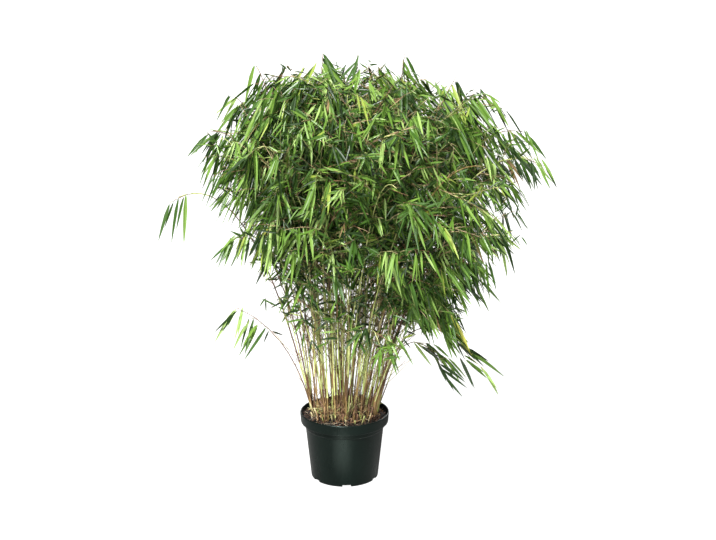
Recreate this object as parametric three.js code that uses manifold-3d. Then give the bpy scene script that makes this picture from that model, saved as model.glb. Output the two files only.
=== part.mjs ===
// Clumping bamboo in a ten-litre nursery pot: a pot, its soil, thirty-five culms that fan out of it,
// and twenty-three masses of foliage, each on a stem that carries on from the tip of its own culm.
// Millimetres, +Z up, front towards -Y. The origin is the centre of the pot's flat underside.

import * as THREE from 'three';
import { mergeVertices } from 'three/addons/utils/BufferGeometryUtils.js';
import Module from 'manifold-3d';

const wasm = await Module();
wasm.setup();

// ---- Driving dimensions ----

const GAP = 0.3; // clearance where two sub-parts meet

const POT = {
  height: 215,
  rimRadius: 140,
  rimHeight: 33,
  rimDraft: 2, // how much the rim band narrows towards its lower edge
  neckRadius: 124, // outside of the wall just under the rim
  baseRadius: 106,
  collarHeight: 16, // a slight collar round the wall, just under the rim
  collarDepth: 1.5,
  rounding: 3, // of the outer edges
  wall: 2.5,
  floor: 4,
  sides: 36,
};
const DRAIN = { count: 6, width: 27, height: 7, depth: 16, firstAngle: -86 };

const SOIL = { edgeHeight: 202, mound: 5, roughness: 1.6, rimClearance: 4, sides: 36, rings: 3 };
// Two sets of bumps on the soil, one across and one along: their size, and how they wander.
const BUMPS = { across: 9, acrossSway: 14, acrossWander: 1.3, along: 11, alongSway: 17, alongWander: 2 };

// The crown is wider on its right. Each row gives a height above the ground, how far the leaves
// reach to the left, to the right, and to the front and back at that height.
const CROWN = [
  [270, 200, 430, 300],
  [370, 390, 440, 340],
  [500, 350, 445, 400],
  [600, 340, 475, 440],
  [700, 420, 510, 470],
  [765, 570, 570, 480],
  [890, 550, 650, 490],
  [1060, 435, 590, 460],
  [1180, 365, 500, 400],
  [1270, 280, 350, 300],
  [1326, 150, 180, 160],
];

// Culms stand in rings. Sizes are in millimetres: foot and reach are radii at the soil and at the
// tip, and rise is how high the culm stands where it starts to lean over. A tip that lies right
// of the pot reaches further by the ring's shift. Some of the culms carry foliage.
const RINGS = [
  {
    tier: 'top', culms: 1, carriers: 1, start: 200,
    foot: 6, reach: 30, shift: -40, tip: 1140, rise: 760, lean: 0.4,
  },
  {
    tier: 'top', culms: 10, carriers: 6, start: -20,
    foot: 34, reach: 255, shift: 60, tip: 1160, rise: 960, lean: 0.3,
  },
  {
    tier: 'middle', culms: 12, carriers: 7, start: -20,
    foot: 65, reach: 425, shift: 80, tip: 1030, rise: 1090, lean: 0.42,
  },
  {
    tier: 'low', culms: 8, carriers: 5, start: 20,
    foot: 90, reach: 260, shift: 70, tip: 800, rise: 760, lean: 0.5,
  },
];
// Sprays that hang lowest or reach furthest, each on an outer culm: where that culm's tip lies.
const SPRAY_FOOT = 100;
const SPRAYS = [
  { tip: [395, -60, 400], rise: 680, lean: 0.3 },
  { tip: [330, -150, 700], rise: 760, lean: 0.4 },
  { tip: [-330, -40, 565], rise: 480, lean: 0.25 },
  { tip: [-535, 30, 875], rise: 1060, lean: 0.45 },
];
const CULM = {
  footRadius: 3,
  tipRadius: 2,
  sides: 5,
  steps: 5,
  depth: 6, // how far its foot stands in the soil
  plainShare: 0.62, // how much of its curve is bare, before its stem takes over
};
// How much culms differ from their ring: in millimetres, or as a share where it says so.
const VARIETY = {
  foot: 5, bend: 10, rise: 30, tip: 30, reachShare: 0.08, turnShare: 0.22, girthShare: 0.18, endShare: 0.08,
};

const STEM = { sides: 4, steps: 4 };
const TWIG = {
  baseRadius: 1.5,
  tipRadius: 1.4,
  sides: 3,
  steps: 2,
  length: 150,
  droop: 0.3, // as a share of the length
  forwards: 0.55, // how it leaves its stem: along it, and to its side
  sideways: 0.85,
  bendAt: 0.55,
  shortening: 0.3, // how much shorter it is at its stem's end
  lengthScale: [0.75, 1.15],
  droopScale: [0.4, 1.4],
  within: [0.2, 0.8], // where it may stand in its own stretch of the stem
  turnSpread: 2,
};
const TWIGS_PER_STEM = { top: 6, middle: 6, low: 5 }; // the whole plant keeps to about 650 leaves
const LEAF = {
  length: 215, // larger than life: each stands for a spray
  width: 36,
  ribHeight: 3.6,
  ribRise: 0.08, // where the midrib is highest and where the blade is widest, from root to tip
  widest: 0.36,
  perTwig: 7,
  onStem: 4,
  first: 0.3, // where the first leaf, the last but one and the last stand on their twig
  beforeLast: 0.87,
  last: 0.985,
  scale: [0.8, 1.15],
  aside: [0.35, 0.95], // how far it points to its twig's side, and up or down
  lastAside: [-0.15, 0.15],
  rise: [0.1, -0.8],
  twist: [-0.5, 0.5], // how far its face turns to the side, and forwards
  nod: 0.3,
};
const SEED = { culms: 108, foliage: 100 }; // the culms of this seed clear each other all the way up
const TRIES = 25; // how often a twig or leaf that has no room is tried another way
const STRAY = 0.1; // how much each of those tries strays from the rule
const HEART_SHARE = 0.88; // where the heart of a mass lies on its culm's curve
const STRETCH = { from: 0.3, to: 0.995, step: 0.01 }; // the shares of the curve that its stem may cover
const CELL_MARGIN = 1.5; // half the least distance between two masses
const CULM_MARGIN = 2; // least distance from a leaf or twig to a culm
// The most that a root may share with its mass, in cubic millimetres, and the most faces it may add.
const ROOT = { leaf: { volume: 16, faces: 20 }, twig: { volume: 80, faces: 34 } };

// ---- Seeded numbers ----

// A small repeatable generator, so every build grows the same plant.
function seeded(seed) {
  let state = seed >>> 0;
  return () => {
    state = (state + 0x6d2b79f5) >>> 0;
    let t = Math.imul(state ^ (state >>> 15), 1 | state);
    t = (t + Math.imul(t ^ (t >>> 7), 61 | t)) ^ t;
    return ((t ^ (t >>> 14)) >>> 0) / 4294967296;
  };
}

const radians = THREE.MathUtils.degToRad;
const mix = THREE.MathUtils.lerp;
const GOLDEN_ANGLE = radians(137.5);
const UP = new THREE.Vector3(0, 0, 1);

// ---- Solids ----

// A closed geometry as a manifold-3d solid.
function solidOf(geometry) {
  const bare = geometry.clone();
  bare.deleteAttribute('normal');
  bare.deleteAttribute('uv');
  const merged = mergeVertices(bare, 1e-3);
  return new wasm.Manifold(new wasm.Mesh({
    numProp: 3,
    vertProperties: merged.attributes.position.array,
    triVerts: new Uint32Array(merged.index.array),
  }));
}

// A manifold-3d solid as a geometry.
function geometryOf(solid) {
  const mesh = solid.getMesh();
  const geometry = new THREE.BufferGeometry();
  geometry.setAttribute('position', new THREE.BufferAttribute(mesh.vertProperties, 3));
  geometry.setIndex(new THREE.BufferAttribute(mesh.triVerts, 1));
  return geometry;
}

// The largest of the bodies that a union left, so that no loose scrap stays.
function largestBody(solid) {
  return solid.decompose().reduce((best, body) => (body.volume() > best.volume() ? body : best));
}

// Evenly spaced points along part of a curve.
function pointsAlong(curve, from, to, steps) {
  return Array.from({ length: steps + 1 }, (_, i) => curve.getPoint(from + ((to - from) * i) / steps));
}

// The place and heading at a share of the way along a row of points.
function placeOn(points, share) {
  const step = Math.min(Math.floor(share * (points.length - 1)), points.length - 2);
  const reach = points[step + 1].clone().sub(points[step]);
  const point = points[step].clone().addScaledVector(reach, share * (points.length - 1) - step);
  return { point, heading: reach.normalize() };
}

// A tapering limb: a cylinder whose rings are carried along part of a curve.
function limb(curve, from, to, startRadius, endRadius, { sides, steps }) {
  const rod = new THREE.CylinderGeometry(endRadius, startRadius, 1, sides, steps);
  const position = rod.attributes.position;
  const chord = curve.getPoint(to).sub(curve.getPoint(from));
  const reference = Math.abs(chord.z) > Math.abs(chord.x) ? new THREE.Vector3(1, 0, 0) : UP;
  for (let i = 0; i < position.count; i++) {
    const t = from + (to - from) * (position.getY(i) + 0.5);
    const along = curve.getTangent(t);
    const side = reference.clone().addScaledVector(along, -reference.dot(along)).normalize();
    const across = side.clone().cross(along);
    const point = curve.getPoint(t)
      .addScaledVector(side, position.getX(i))
      .addScaledVector(across, position.getZ(i));
    position.setXYZ(i, point.x, point.y, point.z);
  }
  return rod;
}

// ---- Pot and soil ----

function revolved(profile, sides) {
  const turned = new THREE.LatheGeometry(profile.map(([r, z]) => new THREE.Vector2(r, z)), sides);
  return turned.rotateX(Math.PI / 2);
}

function potGeometry() {
  const { height, rimRadius, rimHeight, rimDraft, neckRadius, baseRadius, rounding, wall, floor } = POT;
  const rimFoot = height - rimHeight;
  const rimLow = rimRadius - rimDraft;
  const collarRadius = neckRadius + POT.collarDepth;
  const collarFoot = rimFoot - POT.collarHeight;
  const profile = [
    [0, 0],
    [baseRadius - rounding, 0],
    [baseRadius, rounding],
    [neckRadius, collarFoot - 1],
    [collarRadius, collarFoot],
    [collarRadius, rimFoot],
    [rimLow - rounding, rimFoot],
    [rimLow, rimFoot + rounding],
    [rimRadius, height - rounding],
    [rimRadius - 1, height],
    [rimRadius - wall - 1, height],
    [rimLow - wall - 1, rimFoot + wall + rounding],
    [neckRadius - wall, rimFoot + wall],
    [baseRadius - wall, floor],
    [0, floor],
  ];
  const shell = solidOf(revolved(profile, POT.sides));
  return geometryOf(drainSlots().reduce((pot, slot) => pot.subtract(slot), shell));
}

// Slots through the corner between the wall and the floor.
function drainSlots() {
  const step = (2 * Math.PI) / DRAIN.count;
  return Array.from({ length: DRAIN.count }, (_, i) => {
    const slot = new THREE.BoxGeometry(2 * DRAIN.depth, DRAIN.width, 2 * DRAIN.height);
    slot.translate(POT.baseRadius, 0, 0);
    slot.rotateZ(radians(DRAIN.firstAngle) + i * step);
    return solidOf(slot);
  });
}

// Height of the soil's uneven top at a point.
function soilHeight(x, y) {
  const share = Math.hypot(x, y) / POT.neckRadius;
  const across = Math.sin(x / BUMPS.across + BUMPS.acrossWander * Math.cos(y / BUMPS.acrossSway));
  const along = Math.sin(y / BUMPS.along + BUMPS.alongWander * Math.sin(x / BUMPS.alongSway));
  return SOIL.edgeHeight + SOIL.mound * (1 - share * share) + SOIL.roughness * (across + along);
}

// The soil fills the pot from its floor, GAP clear of the wall, up to that uneven top.
function soilGeometry(lift = 0) {
  const rimFoot = POT.height - POT.rimHeight;
  const inset = POT.wall + GAP;
  const rimInside = POT.rimRadius - POT.rimDraft - inset - SOIL.rimClearance;
  const profile = [
    [0, POT.floor + GAP],
    [POT.baseRadius - inset, POT.floor + GAP],
    [POT.neckRadius - inset, rimFoot + POT.wall],
    [rimInside, rimFoot + POT.wall + POT.rounding + 1],
    [rimInside, SOIL.edgeHeight],
  ];
  for (let ring = SOIL.rings - 1; ring >= 0; ring--) {
    profile.push([(rimInside * ring) / SOIL.rings, SOIL.edgeHeight]);
  }
  const body = revolved(profile, SOIL.sides);
  const position = body.attributes.position;
  for (let i = 0; i < position.count; i++) {
    if (position.getZ(i) < SOIL.edgeHeight - 1e-3) continue;
    const x = position.getX(i);
    const y = position.getY(i);
    position.setZ(i, soilHeight(x, y) + lift);
  }
  return body;
}

// ---- Culms ----

// Every culm's curve, from under the soil's surface to the tip that it would reach with its stem.
function culmCurves() {
  const random = seeded(SEED.culms);
  const spread = (amount) => amount * (2 * random() - 1);
  const culms = [];
  const grow = (tier, angle, footRadius, tip, rise, lean, carries) => {
    const foot = new THREE.Vector3(footRadius * Math.cos(angle), footRadius * Math.sin(angle), 0);
    foot.z = soilHeight(foot.x, foot.y) - CULM.depth;
    const bend = foot.clone().lerp(tip, lean);
    bend.x += spread(VARIETY.bend);
    bend.y += spread(VARIETY.bend);
    bend.z = rise;
    const curve = new THREE.QuadraticBezierCurve3(foot, bend, tip);
    const girth = 1 + spread(VARIETY.girthShare);
    const end = CULM.plainShare + spread(VARIETY.endShare);
    culms.push({ tier, curve, carries, girth, end });
  };
  for (const ring of RINGS) {
    const share = ring.carriers / ring.culms;
    for (let i = 0; i < ring.culms; i++) {
      const place = i + VARIETY.turnShare * spread(1);
      const angle = radians(ring.start + (360 / ring.culms) * place);
      const reach = ring.reach * (1 + spread(VARIETY.reachShare)) + ring.shift * Math.cos(angle);
      const tip = new THREE.Vector3(reach * Math.cos(angle), reach * Math.sin(angle), ring.tip);
      tip.x += ring.shift;
      tip.z += spread(VARIETY.tip);
      const foot = ring.foot + spread(VARIETY.foot);
      const rise = ring.rise + spread(VARIETY.rise);
      const carries = Math.floor((i + 1) * share) > Math.floor(i * share);
      grow(ring.tier, angle, foot, tip, rise, ring.lean, carries);
    }
  }
  for (const spray of SPRAYS) {
    const tip = new THREE.Vector3(...spray.tip);
    grow('low', Math.atan2(tip.y, tip.x), SPRAY_FOOT, tip, spray.rise, spray.lean, true);
  }
  return culms;
}

// ---- Spaces that the masses keep to ----

// Whether a point lies in the crown: inside the ellipses whose half-axes its height gives.
function insideCrown(point) {
  const upper = CROWN.findIndex(([height]) => height > point.z);
  if (upper <= 0) return false;
  const low = CROWN[upper - 1];
  const high = CROWN[upper];
  const share = (point.z - low[0]) / (high[0] - low[0]);
  const [, left, right, depth] = low.map((value, i) => mix(value, high[i], share));
  return Math.hypot(point.x / (point.x < 0 ? left : right), point.y / depth) < 1;
}

// Whether a point is nearer to its own mass's heart than to any other, by a margin.
function insideCell(point, heart, hearts, margin) {
  return hearts.every((other) => {
    if (other === heart) return true;
    const across = other.clone().sub(heart);
    const middle = heart.clone().add(other).multiplyScalar(0.5);
    return point.clone().sub(middle).dot(across.normalize()) < -margin;
  });
}

// The stretch of a culm's curve, either side of its heart, that keeps to the heart's own space.
function stretchInCell(curve, heart, hearts) {
  const margin = CELL_MARGIN + CULM.footRadius;
  const inside = (share) => insideCell(curve.getPoint(share), heart, hearts, margin);
  let from = HEART_SHARE;
  let to = HEART_SHARE;
  while (from > STRETCH.from && inside(from - STRETCH.step)) from -= STRETCH.step;
  while (to < STRETCH.to && inside(to + STRETCH.step)) to += STRETCH.step;
  return { from, to };
}

// ---- Foliage ----

// A leaf of six faces: a blade, widest towards its base, under a midrib that rises near its root.
function leafGeometry(root, direction, facing, scale) {
  const leaf = new THREE.SphereGeometry(1, 3, 2);
  const position = leaf.attributes.position;
  const length = LEAF.length * scale;
  const side = direction.clone().cross(facing).normalize();
  const normal = side.clone().cross(direction);
  for (let i = 0; i < position.count; i++) {
    const [x, y, z] = [position.getX(i), position.getY(i), position.getZ(i)].map(Math.round);
    const isRib = x < 0;
    const along = y < 0 ? 0 : y > 0 ? 1 : isRib ? LEAF.ribRise : LEAF.widest;
    const point = root.clone()
      .addScaledVector(direction, along * length)
      .addScaledVector(side, (z * LEAF.width * scale) / 2)
      .addScaledVector(normal, isRib ? LEAF.ribHeight : 0);
    position.setXYZ(i, point.x, point.y, point.z);
  }
  return leaf;
}

function cornersOf(geometry) {
  const { position } = geometry.attributes;
  const corner = (_, i) => new THREE.Vector3().fromBufferAttribute(position, i);
  return Array.from({ length: position.count }, corner);
}

// A heading of any direction.
function anyHeading(random) {
  return new THREE.Vector3(random() - 0.5, random() - 0.5, random() - 0.5).normalize();
}

// Twigs leave the stem at nodes, each turned by the golden angle from the last, and arch over.
function twigCurve(stem, share, turn, length, droop, stray) {
  const { point, heading } = placeOn(stem, share);
  const side = new THREE.Vector3(1, 0, 0).cross(heading).normalize().applyAxisAngle(heading, turn);
  const start = heading.clone()
    .multiplyScalar(TWIG.forwards)
    .addScaledVector(side, TWIG.sideways)
    .add(stray)
    .normalize();
  const bend = point.clone().addScaledVector(start, length * TWIG.bendAt);
  const tip = point.clone().addScaledVector(start, length);
  tip.z -= droop * length;
  return new THREE.QuadraticBezierCurve3(point, bend, tip);
}

// Leaves stand on alternate sides of a twig and hang outwards and down; the last one ends it.
function leafPlace(twig, index, random, stray) {
  const last = index === LEAF.perTwig - 1;
  const along = mix(LEAF.first, LEAF.beforeLast, index / (LEAF.perTwig - 1));
  const { point, heading } = placeOn(twig, last ? LEAF.last : along);
  const side = heading.clone().cross(UP).normalize().multiplyScalar(index % 2 ? 1 : -1);
  const aside = last ? LEAF.lastAside : LEAF.aside;
  const direction = heading.clone()
    .addScaledVector(side, mix(...aside, random()))
    .addScaledVector(UP, mix(...LEAF.rise, random()))
    .add(stray)
    .normalize();
  const facing = UP.clone()
    .addScaledVector(side, mix(...LEAF.twist, random()))
    .addScaledVector(heading, LEAF.nod);
  return { point, direction, facing, scale: mix(...LEAF.scale, random()) };
}

// One mass: a stem, its twigs and their leaves, joined in one body that stays in its own space.
function foliageGeometry(culm, heart, hearts, guard, seed) {
  const random = seeded(seed);
  const { curve, end, endRadius, stemEnd } = culm;
  const twigs = TWIGS_PER_STEM[culm.tier];
  const start = end + GAP / curve.getLength();
  const stem = pointsAlong(curve, start, stemEnd, STEM.steps);
  let body = solidOf(limb(curve, start, stemEnd, endRadius, CULM.tipRadius, STEM));

  // Joins a piece if it stays in the space, clears the culms and meets the mass only at its root.
  const join = (geometry, root) => {
    const fits = (corner) => insideCell(corner, heart, hearts, CELL_MARGIN) && insideCrown(corner);
    if (!cornersOf(geometry).every(fits)) return false;
    const piece = solidOf(geometry);
    if (piece.intersect(guard).volume() > 0) return false;
    const shared = piece.intersect(body).volume();
    if (shared === 0 || shared > root.volume) return false;
    const joined = body.add(piece);
    if (joined.numTri() > body.numTri() + root.faces) return false;
    body = joined;
    return true;
  };
  const growLeaf = (onto, index, stray) => {
    const { point, direction, facing, scale } = leafPlace(onto, index, random, stray);
    return join(leafGeometry(point, direction, facing, scale), ROOT.leaf);
  };
  const growTwig = (index, stray) => {
    const share = (index + mix(...TWIG.within, random())) / twigs;
    const length = TWIG.length * (1 - TWIG.shortening * share) * mix(...TWIG.lengthScale, random());
    const turn = index * GOLDEN_ANGLE + TWIG.turnSpread * random();
    const droop = TWIG.droop * mix(...TWIG.droopScale, random());
    const twig = twigCurve(stem, share, turn, length, droop, stray);
    const joined = join(limb(twig, 0, 1, TWIG.baseRadius, TWIG.tipRadius, TWIG), ROOT.twig);
    return joined && pointsAlong(twig, 0, 1, TWIG.steps);
  };
  const tryOften = (grow) => {
    for (let i = 0; i < TRIES; i++) {
      const grown = grow(anyHeading(random).multiplyScalar(i * STRAY));
      if (grown) return grown;
    }
    return null;
  };

  for (let i = 0; i < twigs; i++) {
    const twig = tryOften((stray) => growTwig(i, stray));
    for (let leaf = 0; twig && leaf < LEAF.perTwig; leaf++) tryOften((stray) => growLeaf(twig, leaf, stray));
  }
  for (let leaf = LEAF.perTwig - LEAF.onStem; leaf < LEAF.perTwig; leaf++) {
    tryOften((stray) => growLeaf(stem, leaf, stray));
  }
  return geometryOf(largestBody(body));
}

// ---- Materials ----

const finish = (color, roughness) => new THREE.MeshStandardMaterial({ color, roughness, metalness: 0 });
const POT_PLASTIC = finish(0x1f2a28, 0.42);
const SOIL_MULCH = finish(0x33261c, 0.95);
const CULM_SKIN = finish(0x8a8f3e, 0.55);
const LEAF_GREEN = finish(0x4f8a2c, 0.5);

// ---- The plant ----

const plant = new THREE.Group();

function place(name, geometry, material) {
  const mesh = new THREE.Mesh(geometry, material);
  mesh.name = name;
  plant.add(mesh);
}

place('pot', potGeometry(), POT_PLASTIC);
place('soil', soilGeometry(), SOIL_MULCH);

const culms = culmCurves();
const carriers = culms.filter((culm) => culm.carries);
const hearts = carriers.map((culm) => culm.curve.getPoint(HEART_SHARE));
carriers.forEach((culm, i) => {
  const { from, to } = stretchInCell(culm.curve, hearts[i], hearts);
  culm.end = from;
  culm.stemEnd = to;
});

const raisedSoil = solidOf(soilGeometry(GAP));
culms.forEach((culm, i) => {
  const footRadius = CULM.footRadius * culm.girth;
  culm.endRadius = mix(footRadius, CULM.tipRadius, culm.end);
  culm.stalk = (margin) => solidOf(
    limb(culm.curve, 0, culm.end, footRadius + margin, culm.endRadius + margin, CULM),
  );
  const name = `culm_${String(i + 1).padStart(2, '0')}`;
  place(name, geometryOf(culm.stalk(0).subtract(raisedSoil)), CULM_SKIN);
});
const guard = culms.map((culm) => culm.stalk(CULM_MARGIN)).reduce((all, stalk) => all.add(stalk));

const made = {};
carriers.forEach((culm, i) => {
  made[culm.tier] = (made[culm.tier] ?? 0) + 1;
  const name = `foliage_${culm.tier}_${made[culm.tier]}`;
  place(name, foliageGeometry(culm, hearts[i], hearts, guard, SEED.foliage + i), LEAF_GREEN);
});

export default plant;
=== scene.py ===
"""Potted clumping bamboo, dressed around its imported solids.

A moulded nursery pot, bark litter over the soil, culms with nodes and dry sheaths, and a crown of
twigs, sprigs and leaves that grow on from the culms by the seeded rule that the solids follow.
Lengths are in millimetres until a mesh is made, +Z up, front towards -Y, as in the solids.
"""

import math

import bpy
import numpy as np
from mathutils import Matrix, Vector


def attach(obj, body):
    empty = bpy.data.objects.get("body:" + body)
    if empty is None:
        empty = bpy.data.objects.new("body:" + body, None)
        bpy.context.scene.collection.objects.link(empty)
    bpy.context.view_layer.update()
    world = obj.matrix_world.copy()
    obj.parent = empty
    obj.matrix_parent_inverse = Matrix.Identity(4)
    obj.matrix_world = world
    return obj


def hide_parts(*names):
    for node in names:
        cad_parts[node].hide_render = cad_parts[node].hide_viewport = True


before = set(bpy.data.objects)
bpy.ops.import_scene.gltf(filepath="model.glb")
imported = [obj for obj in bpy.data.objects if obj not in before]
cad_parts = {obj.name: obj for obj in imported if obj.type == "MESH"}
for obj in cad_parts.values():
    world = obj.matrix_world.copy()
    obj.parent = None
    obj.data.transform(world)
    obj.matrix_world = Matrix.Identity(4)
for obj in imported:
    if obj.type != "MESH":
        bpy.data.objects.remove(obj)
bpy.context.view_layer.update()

MM = 0.001
UP = Vector((0, 0, 1))
GOLDEN_ANGLE = math.radians(137.5)
WORD = 0xFFFFFFFF  # the generator keeps 32 bits


def table(columns, *rows):
    """The rows of a table as dicts, keyed by the names of its columns."""
    return [dict(zip(columns.split(), row)) for row in rows]


# ---- Driving dimensions, shared with the solids ----

POT = dict(
    height=215, rim_radius=140, rim_height=33, rim_draft=2,
    neck_radius=124, base_radius=106, wall=2.5,
)
COLLAR = dict(height=16, depth=1.5)
DRAIN = dict(count=6, width=27, height=7, depth=16, first_angle=-86)
SOIL = dict(edge_height=202, mound=5, roughness=1.6)
CROWN = (  # height, then how far leaves reach to the left, to the right, and to the front and back
    (270, 200, 430, 300),
    (370, 390, 440, 340),
    (500, 350, 445, 400),
    (600, 340, 475, 440),
    (700, 420, 510, 470),
    (765, 570, 570, 480),
    (890, 550, 650, 490),
    (1060, 435, 590, 460),
    (1180, 365, 500, 400),
    (1270, 280, 350, 300),
    (1326, 150, 180, 160),
)
RINGS = table(
    "tier  culms foot reach shift  tip  rise  lean  start",
    ("top",    1,   6,   30,  -40, 1140,  760, 0.4,  200),
    ("top",    10, 34,  255,   60, 1160,  960, 0.3,  -20),
    ("middle", 12, 65,  425,   80, 1030, 1090, 0.42, -20),
    ("low",    8,  90,  260,   70,  800,  760, 0.5,   20),
)
CULM = dict(foot_radius=2.1, tip_radius=1.4, sunk=6)  # sunk: its foot's depth in the soil
SPRAY_FOOT = 100

# A spray is a single culm that leaves the crown's outline. Past the share "first" of its length it
# bears sprigs, each a stalk with "many" leaves that hang "dip" degrees below the level.
SPRAY = "tip rise lean first sprigs dip stalk leaf many"
SPRAYS = table(
    SPRAY,
    ((395, -60, 400), 680, 0.3, 0.58, 12, 46, 84, 88, 2.4),
    ((330, -150, 700), 760, 0.4, 0.5, 16, 48, 70, 84, 2.4),
    ((-330, -40, 565), 480, 0.25, 0.66, 8, 60, 52, 96, 2),
    ((-535, 30, 875), 1060, 0.45, 0.86, 5, 77, 14, 124, 1),
)

# ---- Driving dimensions of the finer plant ----

OWN_SPRAYS = table(
    SPRAY,
    ((300, -90, 400), 590, 0.3, 0.6, 9, 44, 60, 84, 2.4),
    ((500, 20, 745), 1010, 0.42, 0.84, 5, 74, 24, 92, 2.4),
    ((-350, -60, 772), 890, 0.4, 0.74, 6, 55, 30, 84, 2.4),
    ((-260, 0, 1300), 1080, 0.3, 0.8, 5, 66, 24, 96, 2.4),
    ((-330, 20, 1205), 1120, 0.35, 0.76, 7, 54, 30, 88, 2.4),
    ((-390, -60, 1110), 1130, 0.4, 0.76, 7, 52, 30, 88, 2.4),
    ((-60, -20, 1348), 960, 0.3, 0.86, 6, 62, 26, 112, 3),
    ((40, 40, 1330), 980, 0.3, 0.84, 5, 60, 26, 88, 2.4),
    ((180, 10, 1332), 980, 0.35, 0.82, 6, 58, 26, 88, 2.4),
    ((330, -30, 1266), 1010, 0.35, 0.82, 6, 56, 26, 92, 2.4),
    ((430, 20, 1205), 1100, 0.36, 0.8, 6, 50, 28, 88, 2.4),
    ((600, -20, 1000), 1150, 0.4, 0.78, 7, 62, 34, 92, 2.4),
    ((560, 60, 1085), 1190, 0.38, 0.78, 7, 55, 34, 88, 2.4),
    ((300, -90, 520), 720, 0.32, 0.6, 12, 46, 60, 84, 2.4),
)
BED = dict(sides=96, rings=22, reach=130, grain=1.4, settled=1.5)
LITTER = dict(count=1000, reach=129, held=133)
STUBS = dict(cut=95, twigs=210, reach=112, held=120)
THIN = dict(
    count=64, girth=0.7, foot=96, clump=math.radians(45), gathered=0.72,
    top=1268, fall=650, inner=0.12, outer=0.88, sway=16,
)
STOREYS = (("low", 860), ("middle", 1140))  # a thin culm's, by its tip's height
LOW = dict(count=11, turn=75, reach=350, low=500, high=690)  # thin culms low on the right
NODES = dict(first_gap=26, last_gap=105)
SHEATHS = dict(on_solid=0.28, on_thin=0.22, upper=0.45, pale_above=90, shortest=14)
BARE = dict(top=0.36, middle=0.32, low=0.36)  # the share of a culm that is nearly bare
TWIG = dict(
    a_node=3.0, length=160, droop=0.26,
    straight=0.7, straight_below=1080, bare=2.0, bare_leafy=0.72, bare_leaves_above=480,
)
SPRIG = dict(spacing=25, shortest=20, longest=66, at_tip=4)
WOOD = dict(  # radii along thin wood
    twig=(1.2, 1.05, 0.9, 0.78, 0.6),
    sprig=(0.75, 0.66, 0.58, 0.45),
    stalk=(0.8, 0.7, 0.6, 0.5),
    bare=(0.9, 0.8, 0.7, 0.5),
)
LEAF = dict(inner=50, outer=88, least=2.4)  # lengths in and on the crown, and the least width
BOLD = dict(front=0.11, flank=0.6)  # the share of outer sprigs with long leaves, all hanging alike
SKIRT = dict(middle=475, right=240, left=150, front=40, ragged=70, fade=400)  # see skirt()
CROWN_AXIS = 20
CROWN_HEART = 840  # the height that the crown's top is measured from
FRINGE = dict(beyond=-24, twigs=52, sprigs=42, bays=62)  # how deep in the crown growth ends
BULK = dict(left=435, slope=0.46, right=482, from_height=730, flare=1.4)  # only sprays pass it
SEED = dict(
    culms=108, thin=31, low=12, sprays=4, foliage=104, culm_skin=5, sheaths=82, litter=9, stubs=17,
)


# ---- Seeded numbers ----

def seeded(seed):
    """The small repeatable generator that the solids grow by."""
    state = seed & WORD

    def draw():
        nonlocal state
        state = (state + 0x6D2B79F5) & WORD
        t = ((state ^ (state >> 15)) * (1 | state)) & WORD
        t = ((t + (((t ^ (t >> 7)) * (61 | t)) & WORD)) & WORD) ^ t
        return (t ^ (t >> 14)) / (WORD + 1)

    return draw


def spreader(draw):
    return lambda amount: amount * (2 * draw() - 1)


def mix(a, b, share):
    return a + (b - a) * share


def curve(start, bend, tip, t):
    """The point at t on the way from start to tip, round a bend."""
    return start * (1 - t) ** 2 + bend * (2 * t * (1 - t)) + tip * (t * t)


def side_of(index):
    """1 or -1 by turns, for what grows on alternate sides of a stem."""
    return 1 if index % 2 else -1


def around(angle, reach, height=0.0):
    return Vector((reach * math.cos(angle), reach * math.sin(angle), height))


def add(name, data):
    thing = bpy.data.objects.new(name, data)
    bpy.context.scene.collection.objects.link(thing)
    return thing


# ---- Camera, light and floor ----

CAMERA = dict(place=(0.0423, -4.0, 1.71), down=14.54, lens=67.7, sensor=36)
AMBIENT = 0.08  # light of the white studio round the plant
LAMPS = (  # name, strength, softness, then its tilt from straight down and its turn, in degrees
    ("key", 7.5, 7, 40, -26),
    ("fill", 0.6, 40, 62, 40),
    ("front", 1.7, 10, 82, -6),
    ("back", 2.4, 40, 58, 160),
)
SHEEN = dict(place=(-0.12, -0.95, 1.25), aim=(-0.035, -0.33, 0.0), power=900, cone=13)
FLOOR = dict(radius=30, under=0.0005, colour=(0.18, 0.18, 0.175), roughness=0.8)
GLOW = (0.04, 1.0)  # how much the floor shines, to the plant and to the camera


def make_camera():
    data = bpy.data.cameras.new("camera")
    data.lens = CAMERA["lens"]
    data.sensor_width = CAMERA["sensor"]
    camera = add("camera", data)
    camera.location = CAMERA["place"]
    camera.rotation_euler = (math.radians(90 - CAMERA["down"]), 0, 0)
    bpy.context.scene.camera = camera


def seen_strength(tree, to_plant, to_camera):
    """One strength for what the camera sees and another for what lights the plant."""
    seen = tree.nodes.new("ShaderNodeLightPath").outputs["Is Camera Ray"]
    strength = tree.nodes.new("ShaderNodeMapRange")
    feed(strength, Value=seen, To_Min=to_plant, To_Max=to_camera)
    return strength.outputs["Result"]


def make_light():
    scene = bpy.context.scene
    scene.view_settings.view_transform = "Standard"
    world = bpy.data.worlds.new("studio")
    world.use_nodes = True
    strength = seen_strength(world.node_tree, AMBIENT, 1.0)
    feed(world.node_tree.nodes["Background"], Color=(1, 1, 1, 1), Strength=strength)
    scene.world = world
    for name, energy, softness, tilt, turn in LAMPS:
        light = bpy.data.lights.new(name, "SUN")
        light.energy = energy
        light.angle = math.radians(softness)
        lamp = add(name, light)
        lamp.rotation_euler = (math.radians(tilt), 0, math.radians(turn))
    make_sheen()


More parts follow.
